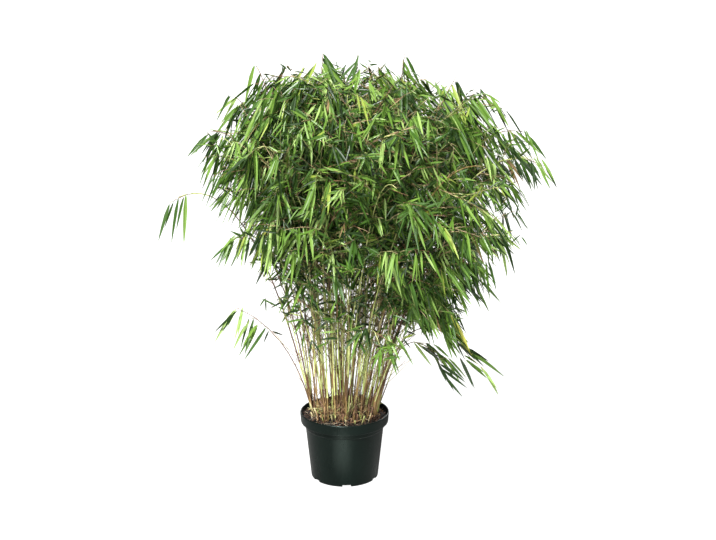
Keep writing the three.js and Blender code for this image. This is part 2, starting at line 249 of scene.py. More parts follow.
def make_sheen():
    """A spot on the floor before the pot, which shows as a soft sheen down its wall."""
    light = bpy.data.lights.new("sheen", "SPOT")
    light.energy = SHEEN["power"]
    light.spot_size = math.radians(SHEEN["cone"])
    light.spot_blend = 1
    light.shadow_soft_size = 0
    lamp = add("sheen", light)
    lamp.location = SHEEN["place"]
    way = Vector(SHEEN["aim"]) - lamp.location
    lamp.rotation_euler = way.to_track_quat("-Z", "Y").to_euler()


def make_floor():
    bpy.ops.mesh.primitive_circle_add(
        vertices=64, radius=FLOOR["radius"], fill_type="NGON", location=(0, 0, -FLOOR["under"])
    )
    floor = bpy.context.object
    floor.name = "floor"
    pale, tree, shader = shader_material("floor", FLOOR["roughness"])
    feed(shader, Base_Color=(*FLOOR["colour"], 1), Specular_IOR_Level=0.1)
    feed(shader, Emission_Color=(1, 1, 1, 1), Emission_Strength=seen_strength(tree, *GLOW))
    floor.data.materials.append(pale)


# ---- Materials ----

def feed(node, **inputs):
    """Gives a node's inputs, named with _ for a space, values or other nodes' outputs."""
    for name, value in inputs.items():
        socket = node.inputs[name.replace("_", " ")]
        if isinstance(value, bpy.types.NodeSocket):
            node.id_data.links.new(value, socket)
        else:
            socket.default_value = value


def shader_material(name, roughness):
    material = bpy.data.materials.new(name)
    material.use_nodes = True
    shader = material.node_tree.nodes["Principled BSDF"]
    feed(shader, Roughness=roughness)
    return material, material.node_tree, shader


def noise(tree, scale, stretch=(1, 1, 1), detail=4.0):
    """A noise pattern in the object's own metres, scale times stretch cycles a metre."""
    coordinates = tree.nodes.new("ShaderNodeTexCoord")
    mapping = tree.nodes.new("ShaderNodeMapping")
    texture = tree.nodes.new("ShaderNodeTexNoise")
    feed(mapping, Vector=coordinates.outputs["Object"], Scale=stretch)
    feed(texture, Vector=mapping.outputs["Vector"], Scale=scale, Detail=detail)
    return texture.outputs["Fac"]


def ramp(tree, value, stops):
    """The colour of a value between stops, each a place and a colour."""
    node = tree.nodes.new("ShaderNodeValToRGB")
    elements = node.color_ramp.elements
    while len(elements) < len(stops):
        elements.new(0.5)
    for element, (place, colour) in zip(elements, stops):
        element.position = place
        element.color = (*colour, 1)
    feed(node, Fac=value)
    return node.outputs["Color"]


def ranged(tree, value, low, high):
    """The middle of a noise pattern's range, stretched to low and high."""
    node = tree.nodes.new("ShaderNodeMapRange")
    feed(node, Value=value, From_Min=0.3, From_Max=0.7, To_Min=low, To_Max=high)
    return node.outputs["Result"]


def bump(tree, value, strength, distance):
    """A surface that a pattern raises, for a shader's Normal."""
    node = tree.nodes.new("ShaderNodeBump")
    feed(node, Height=value, Strength=strength, Distance=distance)
    return node.outputs["Normal"]


def streaked(name, dark, light, roughness):
    """A fibrous finish: two tones in streaks that run up and down."""
    material, tree, shader = shader_material(name, roughness)
    streaks = noise(tree, 160, (1, 1, 0.12))
    tone = ramp(tree, streaks, ((0.34, dark), (0.66, light)))
    feed(shader, Base_Color=tone, Normal=bump(tree, streaks, 0.25, 0.0004))
    return material


def plain(name, colour, roughness):
    material, _, shader = shader_material(name, roughness)
    feed(shader, Base_Color=(*colour, 1), Specular_IOR_Level=0.35)
    return material


def pot_plastic():
    material, tree, shader = shader_material("pot_plastic", 0.38)
    cloud = noise(tree, 9, (1, 1, 0.6))
    tone = ramp(tree, cloud, ((0.35, (0.0014, 0.0030, 0.0024)), (0.65, (0.0026, 0.0056, 0.0044))))
    scuffs = noise(tree, 45, (1, 1, 0.15), 8.0)
    feed(shader, Specular_IOR_Level=0.3, Specular_Tint=(0.78, 1.0, 0.90, 1), Base_Color=tone)
    feed(shader, Roughness=ranged(tree, scuffs, 0.26, 0.36))
    feed(shader, Normal=bump(tree, noise(tree, 380, (1, 1, 0.5), 2.0), 0.12, 0.0003))
    return material


def soil_crumb():
    material, tree, shader = shader_material("soil_crumb", 0.95)
    crumbs = noise(tree, 170, detail=8.0)
    tone = ramp(tree, crumbs, (
        (0.36, (0.002, 0.0015, 0.001)),
        (0.55, (0.014, 0.009, 0.006)),
        (0.72, (0.06, 0.04, 0.027)),
    ))
    feed(shader, Base_Color=tone, Normal=bump(tree, crumbs, 0.8, 0.003))
    return material


LEAF_TINTS = (  # a colour, then its share among the sprigs at the crown's surface
    ((0.015, 0.038, 0.006), 17),
    ((0.037, 0.090, 0.011), 23),
    ((0.084, 0.170, 0.021), 24),
    ((0.145, 0.258, 0.040), 17),
    ((0.250, 0.370, 0.100), 10),
    ((0.240, 0.315, 0.050), 3),
    ((0.330, 0.330, 0.050), 0.3),
    ((0.230, 0.160, 0.070), 0.2),
)
LEAF_WEIGHTS = [weight for _, weight in LEAF_TINTS]
# Deep in the crown the leaves are dealt mostly the darkest greens above: painted shade in the
# crown's heart.
INNER_SHADE_WEIGHTS = (44, 32, 15, 5, 1.5, 0.8, 0.2, 0.8)  # the same colours' shares deep in the crown
TWIG_TINTS = (  # a dark and a light tone, here and in the finishes below
    ((0.330, 0.240, 0.120), (0.540, 0.410, 0.230)),
    ((0.200, 0.200, 0.070), (0.370, 0.370, 0.150)),
    ((0.170, 0.085, 0.040), (0.320, 0.180, 0.095)),
)
CULM_TINTS = (
    ((0.350, 0.415, 0.115), (0.650, 0.720, 0.245)),
    ((0.195, 0.275, 0.060), (0.415, 0.515, 0.130)),
    ((0.430, 0.465, 0.155), (0.690, 0.730, 0.290)),
    ((0.180, 0.112, 0.038), (0.345, 0.230, 0.090)),
    ((0.070, 0.034, 0.018), (0.165, 0.085, 0.045)),
)
CULM_WEIGHTS = (36, 24, 28, 6, 6)
# Low internodes are brown for their age; their many dark browns are also painted shade at the
# clump's foot.
BROWN, DARK_BROWN = 3, 4  # the culm tints of old internodes near the ground
SPRAY_STALK = DARK_BROWN  # the culm tint of a spray's stem above its first third
SHEATH_TINTS = (
    ((0.290, 0.245, 0.115), (0.500, 0.440, 0.240)),
    ((0.180, 0.105, 0.044), (0.330, 0.205, 0.095)),
    ((0.090, 0.045, 0.022), (0.180, 0.095, 0.048)),
    ((0.240, 0.265, 0.080), (0.440, 0.460, 0.180)),
)
SHEATH_WEIGHTS = (36, 14, 8, 42)
LITTER_TINTS = (
    ((0.300, 0.245, 0.155), (0.580, 0.490, 0.345)),
    ((0.125, 0.056, 0.026), (0.260, 0.130, 0.066)),
    ((0.030, 0.015, 0.010), (0.070, 0.036, 0.023)),
    ((0.004, 0.003, 0.0022), (0.016, 0.010, 0.007)),
)
LITTER_WEIGHTS = (14, 16, 24, 46)
# The stubs' and low sheaths' shares lean to the dark browns: their own dry colour, and painted
# shade at the clump's foot.
STUB_WEIGHTS = (10, 32, 46, 12)  # of the sheaths' tints, on stubs and low on culms


def tinted(name, tints, roughness):
    return [streaked(f"{name}_{i + 1}", *tones, roughness) for i, tones in enumerate(tints)]


def dealt(draw, weights):
    """An index, dealt out in proportion to the weights."""
    left = draw() * sum(weights)
    for index, weight in enumerate(weights):
        left -= weight
        if left < 0:
            return index
    return len(weights) - 1


# ---- Meshes from arrays ----

def mesh_piece(name, points, faces, materials, tints=None, creased=None):
    """A smooth mesh from an array of points in millimetres and arrays of faces, one row a face.
    tints says which material each face has, and creased which points a sharp edge runs between."""
    sizes = np.concatenate([np.full(len(rows), rows.shape[1]) for rows in faces])
    corners = np.concatenate([rows.ravel() for rows in faces]).astype(np.int32)
    mesh = bpy.data.meshes.new(name)
    mesh.vertices.add(len(points))
    mesh.vertices.foreach_set("co", (np.asarray(points) * MM).astype(np.float32).ravel())
    mesh.loops.add(len(corners))
    mesh.loops.foreach_set("vertex_index", corners)
    mesh.polygons.add(len(sizes))
    starts = np.concatenate([[0], np.cumsum(sizes)[:-1]])
    mesh.polygons.foreach_set("loop_start", starts.astype(np.int32))
    mesh.update(calc_edges=True)
    mesh.shade_smooth()
    if tints is not None:
        mesh.polygons.foreach_set("material_index", np.asarray(tints, np.int32))
    for material in materials:
        mesh.materials.append(material)
    if creased is not None:
        ends = np.empty(2 * len(mesh.edges), np.int32)
        mesh.edges.foreach_get("vertices", ends)
        sharp = np.asarray(creased)[ends].reshape(-1, 2).all(1)
        mesh.attributes.new("sharp_edge", "BOOLEAN", "EDGE").data.foreach_set("value", sharp)
    mesh.validate()
    return add(name, mesh)


def place(piece, slot, *nodes):
    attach(piece, "root")
    if nodes:
        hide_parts(*nodes)


def unit(rows):
    return rows / np.maximum(np.linalg.norm(rows, axis=-1, keepdims=True), 1e-9)


def bands(first, sides):
    """Quads between rings of points, from each ring that starts at first to the next one."""
    corner = np.arange(sides)
    following = (corner + 1) % sides
    corners = (corner, following, following + sides, corner + sides)
    return np.stack([first + at for at in corners], -1)


def tubes(paths, radii, sides):
    """Closed tubes along N paths of K points with a radius each: points, walls and both caps."""
    paths = np.asarray(paths, float)
    radii = np.asarray(radii, float)
    count, steps = radii.shape
    along = unit(np.gradient(paths, axis=1))
    chord = unit(paths[:, -1] - paths[:, 0])
    upright = np.abs(chord[:, 2:3]) > 0.8
    reference = np.where(upright, (1.0, 0.0, 0.0), (0.0, 0.0, 1.0))[:, None, :]
    side = unit(reference - (reference * along).sum(-1, keepdims=True) * along)
    across = np.cross(along, side)
    turn = (2 * np.pi * np.arange(sides) / sides)[:, None]
    ring = np.cos(turn) * side[:, :, None, :] + np.sin(turn) * across[:, :, None, :]
    points = paths[:, :, None, :] + radii[:, :, None, None] * ring
    first = (np.arange(count) * steps * sides)[:, None]
    walls = bands((first + np.arange(steps - 1) * sides)[:, :, None], sides)
    start_caps = first + np.arange(sides)[::-1]
    end_caps = first + (steps - 1) * sides + np.arange(sides)
    return points.reshape(-1, 3), walls.reshape(-1, 4), start_caps, end_caps


def tube_mesh(name, batches, finishes, sides):
    """Closed tubes as one mesh. A batch has paths with as many points each, their radii, the tint
    of each quad of their walls and that of each tube's caps."""
    points, walls, caps, tints, cap_tints = [], [], [], [], []
    offset = 0
    for paths, radii, wall_tints, end_tints in batches:
        tube_points, tube_walls, start_caps, end_caps = tubes(paths, radii, sides)
        points.append(tube_points)
        walls.append(tube_walls + offset)
        caps += [start_caps + offset, end_caps + offset]
        tints.append(wall_tints)
        cap_tints += [end_tints, end_tints]
        offset += len(tube_points)
    faces = [np.concatenate(walls), np.concatenate(caps)]
    face_tints = np.concatenate(tints + cap_tints)
    return mesh_piece(name, np.concatenate(points), faces, finishes, face_tints)


def wood_mesh(name, kinds, finishes, sides=3):
    """Thin wood as tubes, from rows of a path, its radii and its tint by kind."""
    batches = []
    for kind in kinds.values():
        paths, radii, own = zip(*kind)
        batches.append((paths, radii, np.repeat(own, (len(radii[0]) - 1) * sides), own))
    return tube_mesh(name, batches, finishes, sides)


# ---- Pot ----

def rounded(profile, radius):
    """The profile with each corner between its ends rounded off by a quadratic curve."""
    points = [profile[0]]
    for before, corner, after in zip(profile, profile[1:], profile[2:]):
        corner = np.array(corner, float)
        arms = [np.array(end, float) - corner for end in (before, after)]
        reach = [min(radius, 0.45 * np.linalg.norm(arm)) for arm in arms]
        start, end = (corner + arm / np.linalg.norm(arm) * r for arm, r in zip(arms, reach))
        points += [tuple(curve(start, corner, end, t)) for t in np.linspace(0, 1, 5)]
    return points + [profile[-1]]


def revolved(name, profile, sides, materials):
    """A closed solid turned about Z from a profile that starts and ends on the axis."""
    turn = 2 * np.pi * np.arange(sides) / sides
    body = np.array(profile[1:-1], float)
    radius, height = body[:, 0, None], np.repeat(body[:, 1, None], sides, 1)
    points = np.stack([radius * np.cos(turn), radius * np.sin(turn), height], -1).reshape(-1, 3)
    walls = bands((np.arange(len(body) - 1) * sides)[:, None], sides)
    corner = np.arange(sides)
    following = (corner + 1) % sides
    foot = len(points)
    last = (len(body) - 1) * sides
    caps = np.concatenate([
        np.stack([np.full(sides, foot), following, corner], -1),
        np.stack([np.full(sides, foot + 1), last + corner, last + following], -1),
    ])
    points = np.concatenate([points, [(0, 0, profile[0][1]), (0, 0, profile[-1][1])]])
    return mesh_piece(name, points, [walls.reshape(-1, 4), caps], materials)


def make_pot(plastic):
    top, wall = POT["height"], POT["wall"]
    rim, neck, base = POT["rim_radius"], POT["neck_radius"], POT["base_radius"]
    rim_foot = top - POT["rim_height"]
    rim_low = rim - POT["rim_draft"]
    collar = rim_foot - COLLAR["height"]
    step = neck + COLLAR["depth"]
    profile = [
        (0, 0), (base - 3, 0), (base, 3),
        (neck - 1, collar - 1), (step, collar + 1), (step + 0.5, rim_foot),
        (rim_low - 1, rim_foot), (rim_low, rim_foot + 3), (rim, top - 3), (rim - 1, top),
        (rim - wall - 1, top), (rim_low - wall - 2, rim_foot + wall + 4),
        (neck - wall, rim_foot + wall), (base - wall, 4), (0, 4),
    ]
    pot = revolved("pot_shell", rounded(profile, 2.0), 144, [plastic])
    cutter = drain_cutter()
    cut = pot.modifiers.new("drain", "BOOLEAN")
    cut.object = cutter
    cut.solver = "EXACT"
    bpy.context.view_layer.objects.active = pot
    bpy.ops.object.modifier_apply(modifier="drain")
    bpy.data.objects.remove(cutter)
    pot.data.shade_smooth()
    pot.data.set_sharp_from_angle(angle=math.radians(40))
    place(pot, "pot", "pot")


def drain_cutter():
    """Slots through the corner between the wall and the floor, as one mesh."""
    corners = np.array([(x, y, z) for x in (-1, 1) for y in (-0.5, 0.5) for z in (-1, 1)], float)
    corners *= (DRAIN["depth"], DRAIN["width"], DRAIN["height"])
    corners[:, 0] += POT["base_radius"]
    box = np.array([
        (0, 1, 3, 2), (4, 6, 7, 5), (0, 4, 5, 1), (2, 3, 7, 6), (0, 2, 6, 4), (1, 5, 7, 3),
    ])
    points, faces = [], []
    for i in range(DRAIN["count"]):
        angle = math.radians(DRAIN["first_angle"] + i * 360 / DRAIN["count"])
        turn = np.array(Matrix.Rotation(angle, 3, "Z"))
        points.append(corners @ turn.T)
        faces.append(box + 8 * i)
    return mesh_piece("drain_cutter", np.concatenate(points), [np.concatenate(faces)], [])


# ---- Soil, litter and cut stubs ----

def soil_height(x, y):
    share = math.hypot(x, y) / POT["neck_radius"]
    bumps = math.sin(x / 9 + 1.3 * math.cos(y / 14)) + math.sin(y / 11 + 2 * math.sin(x / 17))
    return SOIL["edge_height"] + SOIL["mound"] * (1 - share * share) + SOIL["roughness"] * bumps


def make_soil(crumb):
    rings, reach, level = BED["rings"], BED["reach"], SOIL["edge_height"]
    profile = [(0, 4.5), (100, 4.5), (118, 184), (reach, 190), (reach, level)]
    profile += [(reach * (1 - i / rings), level) for i in range(1, rings + 1)]
    soil = revolved("soil_bed", profile, BED["sides"], [crumb])
    points = np.empty(3 * len(soil.data.vertices), np.float32)
    soil.data.vertices.foreach_get("co", points)
    points = points.reshape(-1, 3) / MM
    for point in points:
        if point[2] > level - 0.1:
            x, y = float(point[0]), float(point[1])
            grain = math.sin(x * 0.9 + 2 * math.sin(y * 0.5))
            grain *= math.sin(y * 1.1 + 2 * math.cos(x * 0.4))
            point[2] = soil_height(x, y) + BED["grain"] * grain - BED["settled"]
    soil.data.vertices.foreach_set("co", (points * MM).ravel())
    soil.data.update()
    place(soil, "mulch", "soil")


def on_soil(draw, reach):
    """A place on the soil, anywhere within a reach of its middle."""
    angle = 2 * math.pi * draw()
    radius = reach * math.sqrt(draw())
    x, y = radius * math.cos(angle), radius * math.sin(angle)
    return Vector((x, y, soil_height(x, y)))


def held_in(point, reach):
    """The share of its way out that keeps a point within reach of the middle."""
    return min(1, reach / max(1, math.hypot(point.x, point.y)))


def litter_sliver(draw, spread):
    """Four rows of left edge, raised middle and right edge, along a curled sliver on the soil."""
    middle = on_soil(draw, LITTER["reach"])
    heading = Vector((spread(1), spread(1), spread(0.4))).normalized()
    flat = UP.cross(heading).normalized()
    length = 9 + 32 * draw() ** 2
    width = 1.2 + 2.2 * draw() ** 2
    middle.z += 0.5 + 10 * draw() ** 1.5
    curl = Vector((spread(0.25), spread(0.25), spread(0.2)))
    rows = []
    for t, half in ((-0.5, 0.25), (-0.2, 0.5), (0.2, 0.45), (0.5, 0.12)):
        centre = middle + heading * (t * length) + curl * (length * (t * t - 0.1))
        held = held_in(centre, LITTER["held"])
        centre.x *= held
        centre.y *= held
        edge = flat * (half * width)
        rows.append([centre - edge, centre + UP * (0.35 * width), centre + edge])
    return rows


def make_litter():
    """Dry slivers of leaf and sheath, and bark chips, strewn over the soil."""
    draw = seeded(SEED["litter"])
    spread = spreader(draw)
    tints, slivers = [], []
    for _ in range(LITTER["count"]):
        tints.append(dealt(draw, LITTER_WEIGHTS))
        slivers.append(litter_sliver(draw, spread))
    points = np.array([[[tuple(point) for point in row] for row in rows] for rows in slivers])
    first = (np.arange(len(slivers)) * 12)[:, None, None]
    quads = bands(np.array((0, 3, 6))[:, None], 3).reshape(-1, 4)
    ends = np.array([(0, 2, 1), (9, 10, 11)])
    faces = [(first + quads).reshape(-1, 4), (first + ends).reshape(-1, 3)]
    face_tints = np.concatenate([np.repeat(tints, len(quads)), np.repeat(tints, len(ends))])
    finishes = tinted("litter", LITTER_TINTS, 0.85)
    litter = mesh_piece("litter", points.reshape(-1, 3), faces, finishes, face_tints)
    place(litter, "mulch", "soil")


def make_stubs(papery):
    """Stubs of cut culms, and dry twigs, that stick out of the soil."""
    draw = seeded(SEED["stubs"])
    spread = spreader(draw)
    kinds = {"cut": [], "dry": []}
    for _ in range(STUBS["cut"]):
        foot = on_soil(draw, STUBS["reach"])
        lean = Vector((foot.x / 400 + spread(0.16), foot.y / 400 + spread(0.16), 1))
        height = 12 + 50 * draw() ** 1.6
        radius = 1.3 + 1.3 * draw()
        rows = [foot - UP * 5, foot + lean * (0.5 * height), foot + lean * height]
        radii = (radius * 1.1, radius, radius * 0.94)
        kinds["cut"].append((rows, radii, dealt(draw, STUB_WEIGHTS)))
    for _ in range(STUBS["twigs"]):
        foot = on_soil(draw, STUBS["reach"])
        foot.z += 2 + 30 * draw()
        way = Vector((spread(1), spread(1), 1.7 * draw() - 0.1)).normalized()
        length = 30 + 80 * draw()
        sag = UP * (0.12 * length)
        rows = [foot, foot + way * (0.5 * length), foot + way * length - sag]
        held = held_in(rows[2], STUBS["held"])
        rows = [Vector((row.x * held, row.y * held, row.z)) for row in rows]
        thick = 0.55 + 0.5 * draw()
        radii = (thick, thick * 0.85, thick * 0.6)
        kinds["dry"].append((rows, radii, dealt(draw, STUB_WEIGHTS)))
    place(wood_mesh("stubs", kinds, papery, 6), "culm")


# ---- Culms ----

class Culm:
    """A culm's curve from under the soil's surface to the tip of its stem, with its girth."""

    def __init__(self, tier, foot, bend, tip, girth, spray=None, sway=Vector((0, 0, 0))):
        self.tier, self.girth, self.spray = tier, girth, spray
        self.foot, self.bend, self.tip, self.sway = foot, bend, tip, sway

    def point(self, t):
        even = curve(self.foot, self.bend, self.tip, t)
        return even + self.sway * math.sin(3 * math.pi * t)

    def heading(self, t):
        return ((self.bend - self.foot) * (1 - t) + (self.tip - self.bend) * t).normalized()

    def length(self):
        rows = [self.point(i / 20) for i in range(21)]
        return sum((b - a).length for a, b in zip(rows, rows[1:]))

    def radius(self, t):
        return mix(CULM["foot_radius"] * self.girth, CULM["tip_radius"] * 0.75, t ** 1.1)


def foot_at(angle, radius):
    foot = around(angle, radius)
    foot.z = soil_height(foot.x, foot.y) - CULM["sunk"]
    return foot


def culm_curves(draw, rings, sprays):
    """The culms of rings round the middle and of sprays, with the draws that the solids make."""
    spread = spreader(draw)
    culms = []

    def grow(tier, angle, foot_radius, tip, rise, lean, spray=None):
        foot = foot_at(angle, foot_radius)
        bend = foot.lerp(tip, lean)
        bend.x += spread(10)
        bend.y += spread(10)
        bend.z = rise
        girth = 1 + spread(0.18)
        spread(0.08)  # the solids draw their taper here
        culms.append(Culm(tier, foot, bend, tip, girth, spray))

    for ring in rings:
        for i in range(ring["culms"]):
            angle = math.radians(ring["start"] + 360 / ring["culms"] * (i + 0.22 * spread(1)))
            reach = ring["reach"] * (1 + spread(0.08)) + ring["shift"] * math.cos(angle)
            tip = around(angle, reach, ring["tip"] + spread(30))
            tip.x += ring["shift"]
            foot = ring["foot"] + spread(5)
            grow(ring["tier"], angle, foot, tip, ring["rise"] + spread(30), ring["lean"])
    for spray in sprays:
        tip = Vector(spray["tip"])
        grow("low", math.atan2(tip.y, tip.x), SPRAY_FOOT, tip, spray["rise"], spray["lean"], spray)
    return culms


def thin_curves(draw):
    """Thinner culms among the solids' own, their feet and tips dealt out evenly."""
    spread = spreader(draw)
    culms = []
    for i in range(THIN["count"]):
        angle = i * GOLDEN_ANGLE
        share = (i + 0.5) / THIN["count"]
        out = math.sqrt(share)
        height = THIN["top"] - THIN["fall"] * draw() * share ** 0.7 + spread(16)
        left, right, depth = crown_section(height)
        across = left if math.cos(angle) < 0 else right
        reach = mix(THIN["inner"], THIN["outer"], out) + spread(0.06)
        tip = Vector((reach * across * math.cos(angle), reach * depth * math.sin(angle), height))
        clump = round(angle / THIN["clump"]) * THIN["clump"]
        foot = foot_at(mix(angle, clump, THIN["gathered"]), THIN["foot"] * out + spread(7))
        bend = foot.lerp(tip, mix(0.35, 0.68, draw()))
        bend.z = max(0.84 * height, height + 120 * share - 60)
        bend += Vector((spread(30), spread(30), spread(30)))
        tier = next((tier for tier, below in STOREYS if height < below), "top")
        sway = Vector((spread(1), spread(1), 0)) * THIN["sway"]
        culms.append(Culm(tier, foot, bend, tip, THIN["girth"] * (1 + spread(0.25)), sway=sway))
    return culms


def low_curves(draw):
    """Thin culms that arch over low on the right, where the foliage hangs furthest down."""
    spread = spreader(draw)
    culms = []
    for i in range(LOW["count"]):
        turn = math.radians(LOW["turn"] * (2 * (i + 0.5) / LOW["count"] - 1))
        reach = LOW["reach"] * (0.7 + 0.4 * draw())
        tip = around(turn, reach, mix(LOW["low"], LOW["high"], draw()))
        foot = foot_at(turn, 80 + spread(22))
        bend = foot.lerp(tip, 0.34)
        bend.z = tip.z * 1.22 + spread(30)
        culms.append(Culm("low", foot, bend, tip, THIN["girth"] * (1 + spread(0.2))))
    return culms


NODE_SHAPE = (  # how far from a node, and by how much the culm is thicker there
    (-3.2, 1.0), (-1.2, 1.07), (0.0, 1.26), (1.0, 1.16), (2.6, 0.98),
)


def node_marks(total, draw):
    """Distances along a culm of its nodes: close at the foot, wide higher up."""
    marks, at, gap = [], 10 + 16 * draw(), NODES["first_gap"]
    while at < total * 0.97:
        marks.append(at)
        gap = min(gap * (1.25 + 0.25 * draw()), NODES["last_gap"] + 40 * draw())
        at += gap
    return marks


def internode_tints(count, usual, low, draw):
    """A tint for each internode: browns on most of the low ones, for their age and partly as
    painted shade at the clump's foot, mostly the usual one above.
    """
    tints = []
    for index in range(count):
        roll = draw()
        if index < low and roll < 0.5:
            tints.append(BROWN)
        elif index < low and roll < 0.78:
            tints.append(DARK_BROWN)
        elif roll < 0.8:
            tints.append(usual)
        else:
            tints.append(dealt(draw, CULM_WEIGHTS))
    return tints


def culm_rings(culm, marks, total):
    """The path, the radii and the internodes of a culm's rings of points, swollen at its nodes."""
    rows = [(0.0, 1.0), (total, 0.6)]
    rows += [(mark + shift, swell) for mark in marks for shift, swell in NODE_SHAPE]
    rows += [((a + b) / 2, 1.0) for a, b in zip(marks, marks[1:]) if b - a > 30]
    rows.sort()
    path = [tuple(culm.point(min(at / total, 1))) for at, _ in rows]
    radii = [culm.radius(min(at / total, 1)) * swell for at, swell in rows]
    internode = [sum(mark <= at for mark in marks) for at, _ in rows[:-1]]
    return path, radii, internode


def make_culms(name, culms, skin, replaced, sheathed):
    """Culms as one mesh. Each keeps its nodes as marks. The sheaths that they get are returned."""
    draw = seeded(SEED["culm_skin"] + len(culms))
    batches, sheaths = [], []
    sides = 8
    for culm in culms:
        total = culm.length()
        marks = node_marks(total, draw)
        culm.marks = [mark / total for mark in marks]
        usual = dealt(draw, CULM_WEIGHTS)
        own = internode_tints(len(marks) + 1, usual, 2 + int(2 * draw()), draw)
        if culm.spray:
            foot = len(own) // 3
            own[foot:] = [SPRAY_STALK] * (len(own) - foot)
        path, radii, internode = culm_rings(culm, marks, total)
        tints = np.repeat([own[index] for index in internode], sides)
        batches.append(([path], [radii], tints, [0]))
        for at, following in zip(marks, marks[1:] + [total]):
            chance = sheathed * (1.0 if at < 0.45 * total else SHEATHS["upper"])
            if following - at > SHEATHS["shortest"] and draw() < chance:
                length = (following - at) * (0.35 + 0.55 * draw())
                # Sheaths low on the culm take the darker stub shares, partly as painted shade.
                weights = SHEATH_WEIGHTS if at > SHEATHS["pale_above"] else STUB_WEIGHTS
                tint = dealt(draw, weights)
                sheaths.append((culm, at / total, length / total, length, tint))
    place(tube_mesh(name, batches, skin, sides), "culm", *replaced)
    return sheaths


def make_sheaths(name, sheaths, papery, replaced):
    """Papery sheaths: each wraps its culm from a node upwards and ends in a slanting edge."""
    draw = seeded(SEED["sheaths"])
    sides, steps = 8, 4
    paths, radii = [], []
    for culm, foot, rise, _, _ in sheaths:
        rows = [min(foot + rise * t, 1) for t in (0.0, 0.04, 0.5, 1.0)]
        paths.append([tuple(culm.point(share)) for share in rows])
        own = [culm.radius(share) for share in rows]
        radii.append([own[0] + 0.3, own[1] + 0.45, own[2] + 0.4, own[3] + 0.25 + 0.4 * draw()])
    points, walls, _, _ = tubes(paths, radii, sides)
    points = points.reshape(len(sheaths), steps, sides, 3)
    for index, (culm, foot, rise, length, _) in enumerate(sheaths):
        heading = np.array(culm.heading(min(foot + rise, 1)))
        phase = 2 * math.pi * draw()
        slant = np.cos(2 * np.pi * np.arange(sides) / sides + phase)
        points[index, 3] += heading * (slant * min(0.18 * length, 9))[:, None]
    tints = np.repeat([sheath[-1] for sheath in sheaths], (steps - 1) * sides)
    piece = mesh_piece(name, points.reshape(-1, 3), [walls], papery, tints)
    place(piece, "culm", *replaced)


# ---- Crown ----

def crown_section(height):
    """How far the crown reaches at a height: left, right, and to the front and back."""
    height = min(max(height, CROWN[0][0]), CROWN[-1][0])
    for low, high in zip(CROWN, CROWN[1:]):
        if high[0] >= height:
            break
    share = (height - low[0]) / (high[0] - low[0])
    left, right, depth = (mix(a, b, share) for a, b in zip(low[1:], high[1:]))
    left = min(left, BULK["left"], BULK["slope"] * height)
    right = min(right, BULK["right"] + BULK["flare"] * max(0, height - BULK["from_height"]))
    return left, right, depth


def crown_share(point, margin=0.0):
    """How far out a point lies: 0 on the crown's axis, 1 on its surface."""
    if not CROWN[0][0] < point.z < CROWN[-1][0]:
        return math.inf
    left, right, depth = crown_section(point.z)
    across = left if point.x < 0 else right
    above = (point.z - CROWN_HEART) / (CROWN[-1][0] - margin - CROWN_HEART)
    return max(above, math.hypot(point.x / (across - margin), point.y / (depth - margin)))


def skirt(point):
    """The lowest that foliage hangs: lower to the right and outwards, and higher at the front."""
    out = math.hypot(point.x, point.y)
    right = max(0, point.x / max(out, 1)) * min(1, out / 300) ** 2
    left = max(0, -point.x / max(out, 1)) * min(1, out / 380)
    front = max(-1, min(1, -point.y / 400)) * (1 - right)
    return SKIRT["middle"] - SKIRT["right"] * right - SKIRT["left"] * left + SKIRT["front"] * front


class Crown:
    """What grows: leaves by tier, and thin wood by tier and kind."""

    def __init__(self):
        self.leaves = {tier: [] for tier in BARE}
        self.wood = {tier: {} for tier in BARE}

    def add_wood(self, tier, kind, path, radii, draw):
        tint = int(len(TWIG_TINTS) * draw())
        self.wood[tier].setdefault(kind, []).append(([tuple(row) for row in path], radii, tint))


def bay(point):
    """0 where the foliage bulges, 1 in the bays between."""
    return 0.5 + 0.5 * math.sin(point.x / 38) * math.sin(point.z / 44 + point.y / 60)


def sideways(heading):
    """The level direction across a heading."""
    side = heading.cross(UP)
    return side.normalized() if side.length > 1e-3 else Vector((1, 0, 0))


def bent(start, bend, tip, count):
    return [curve(start, bend, tip, i / (count - 1)) for i in range(count)]


def along_rows(rows, share):
    """The point at a share of the way along a path, and the path's direction there."""
    at = share * (len(rows) - 1)
    step = min(int(at), len(rows) - 2)
    reach = rows[step + 1] - rows[step]
    return rows[step] + reach * (at - step), reach.normalized()


def pointing(azimuth, dip):
    """A direction from its compass angle and its angle below the level."""
    return around(azimuth, math.cos(dip), -math.sin(dip))


def surface_share(point):
    """0 deep in the crown, 1 at its surface."""
    return min(1, max(0, crown_share(point) - 0.45) / 0.4)


def hanging(point, bold, draw):
    """The way a sprig's leaves point: outwards and down if it is bold, else any way."""
    spread = spreader(draw)
    out = math.atan2(point.y, point.x - CROWN_AXIS)
    if bold:
        return pointing(out + spread(0.45) + spread(0.45), math.radians(38 + 34 * draw()))
    return pointing(out + spread(math.pi), math.radians(-45 + 112 * draw()))


def leaf_fits(tip, draw):
    """Whether a leaf's tip is within the crown and above its skirt's ragged edge."""
    if crown_share(tip, FRINGE["beyond"]) >= 1:
        return False
    return tip.z >= skirt(tip) - SKIRT["ragged"] * draw()


